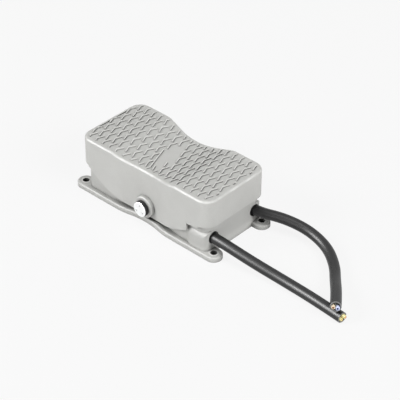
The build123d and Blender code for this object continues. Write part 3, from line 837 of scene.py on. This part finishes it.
def spring_line(x):
    """The wire's centre line: a closed turn, open turns and a closed turn."""
    low = SPRING_LOW + SPRING_WIRE
    high = SPRING_HIGH - SPRING_WIRE
    turns = OPEN_TURNS + 2 * END_TURNS
    closed = 2 * SPRING_WIRE * END_TURNS
    points = []
    steps = int(turns * STEPS_PER_TURN)
    for step in range(steps + 1):
        turn = turns * step / steps
        if turn < END_TURNS:
            z = low + closed * turn / END_TURNS
        elif turn > turns - END_TURNS:
            z = high - closed * (turns - turn) / END_TURNS
        else:
            z = low + closed + (high - low - 2 * closed) * (turn - END_TURNS) / OPEN_TURNS
        angle = 2 * math.pi * turn
        points.append(Vector((x + COIL_RADIUS * math.cos(angle), COIL_RADIUS * math.sin(angle), z)))
    return points


for word, x in SPRING_X.items():
    line = spring_line(x)
    rings = [(centre, pair, SPRING_WIRE) for centre, pair in zip(line, side_frames(line))]
    spring = tube_piece(f"coil_spring_{word}", [rings], [metals["spring_steel"]], SPRING_SIDES)
    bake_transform(spring)
    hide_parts(f"return_spring_{word}")
    print(f"spring {word}: {line_length(line) / MM:.0f} mm of wire")

# %% [markdown]
# ## The floor
#
# The picture was taken on a white sweep that is almost without shadow. Turning the lamps up until a floor
# goes white would burn the object out, so the floor glows instead, but only for rays that come straight
# from the camera or are mirrored, as the Light Path node tells. A small share of the real light is left
# in, which keeps a trace of the object's shadow. Under the fixing holes the floor is painted dark as shade
# and doesn't glow, so that the holes stay black.

# %% Floor
FLOOR_SIZE = 6.0
FLOOR_PALE = (0.8, 0.8, 0.8, 1)
FLOOR_GLOW = 0.92
WHITE = (0.947, 0.947, 0.947, 1)


def seen(field):
    """1 for what the camera sees, directly or mirrored, and 0 for light on the object."""
    direct = field.node("ShaderNodeLightPath", output="Is Camera Ray")
    mirrored = field.node("ShaderNodeLightPath", output="Is Glossy Ray")
    return direct.math("MAXIMUM", direct, mirrored)


def floor_finish():
    """Pale and matt, glowing for the camera and in reflections, with painted shade under the fixing holes.
    """
    material, shader, point = new_finish("floor", roughness=0.9)
    # Painted shade: under the fixing holes the floor is dark and does not glow.
    outside = from_hole(point).step(1.2 * HOLE_RADIUS, 1.6 * HOLE_RADIUS)
    wire(shader, base_color=outside.mix(HOLE_SHADE, FLOOR_PALE))
    glow = point.node("ShaderNodeEmission", None, {"Color": WHITE, "Strength": 1.0})
    lit = Field(point.tree, shader.outputs[0])
    mixed = point.node("ShaderNodeMixShader", None, {0: seen(point) * outside * FLOOR_GLOW, 1: lit, 2: glow})
    output = material.node_tree.nodes["Material Output"]
    point.tree.links.new(mixed.socket, output.inputs["Surface"])
    return material


floor_mesh = bpy.data.meshes.new("floor")
half = FLOOR_SIZE / 2
corners = [(-half, -half, 0), (half, -half, 0), (half, half, 0), (-half, half, 0)]
floor_mesh.from_pydata(corners, [], [(0, 1, 2, 3)])
floor_mesh.materials.append(floor_finish())
floor = bpy.data.objects.new("floor", floor_mesh)
bpy.context.scene.collection.objects.link(floor)
print("floor", FLOOR_SIZE, "m square")

# %% [markdown]
# ## The lamps
#
# A softbox stands at each side, with weak fills in front, above and behind, so that the walls come out a
# little brighter than the top. The lamps are area lamps on a circle round the object, aimed at its
# middle, and "turn" counts from the camera: a lamp turned by -75 stands to the left of the picture. Two
# lamps are special. The sheen strip lights reflections alone, and draws the long highlight along the
# cables. The back fill lights matt surfaces alone, because from behind it would glare along the top.

# %% Lamps
LAMP_DISTANCE = 1.8
LAMPS = {
    "left softbox": {"turn": -75, "elevation": 35, "size": 0.6, "power": 18.5},
    "right softbox": {"turn": 50, "elevation": 35, "size": 0.8, "power": 23.5},
    "front fill": {"turn": -25, "elevation": 12, "size": 1.0, "power": 7.5},
    "top fill": {"turn": 0, "elevation": 80, "size": 0.8, "power": 7.8},
    "sheen strip": {"turn": -77, "elevation": 34, "size": 0.9, "power": 62.0, "on_matt": False},
    "back fill": {"turn": 172, "elevation": 8, "size": 1.0, "power": 14.0, "mirrored": False},
}


def add_lamp(name, turn, elevation, size, power, on_matt=True, mirrored=True):
    """A square area lamp that faces the object."""
    lamp_data = bpy.data.lights.new(name, "AREA")
    lamp_data.shape = "SQUARE"
    lamp_data.size = size
    lamp_data.energy = power
    lamp = bpy.data.objects.new(name, lamp_data)
    bpy.context.scene.collection.objects.link(lamp)
    toward = camera_axes(AZIMUTH + turn, elevation, 0)[2]
    lamp.location = toward * LAMP_DISTANCE + Vector((0, 0, AIM_HEIGHT))
    lamp.rotation_mode = "QUATERNION"
    lamp.rotation_quaternion = (-toward).to_track_quat("-Z", "Y")
    lamp.visible_diffuse = on_matt
    lamp.visible_glossy = mirrored


for name, values in LAMPS.items():
    add_lamp(name, **values)
print("lamps:", ", ".join(LAMPS))

# %% [markdown]
# ## The sky
#
# The world is white behind the object and in its reflections, as the floor is, but its light on the
# object is faint, so that the softboxes keep giving the form. Two Background nodes and a Mix Shader do
# that.

# %% Sky
SKY_LIGHT = 0.05
world = bpy.data.worlds.new("studio")
bpy.context.scene.world = world
world.use_nodes = True
sky = Field(world.node_tree)
dim = sky.node("ShaderNodeBackground", None, {"Color": (1, 1, 1, 1), "Strength": SKY_LIGHT})
white = sky.node("ShaderNodeBackground", None, {"Color": WHITE, "Strength": 1.0})
mixed = sky.node("ShaderNodeMixShader", None, {0: seen(sky), 1: dim, 2: white})
world.node_tree.links.new(mixed.socket, world.node_tree.nodes["World Output"].inputs["Surface"])
print("sky light on the object:", SKY_LIGHT)
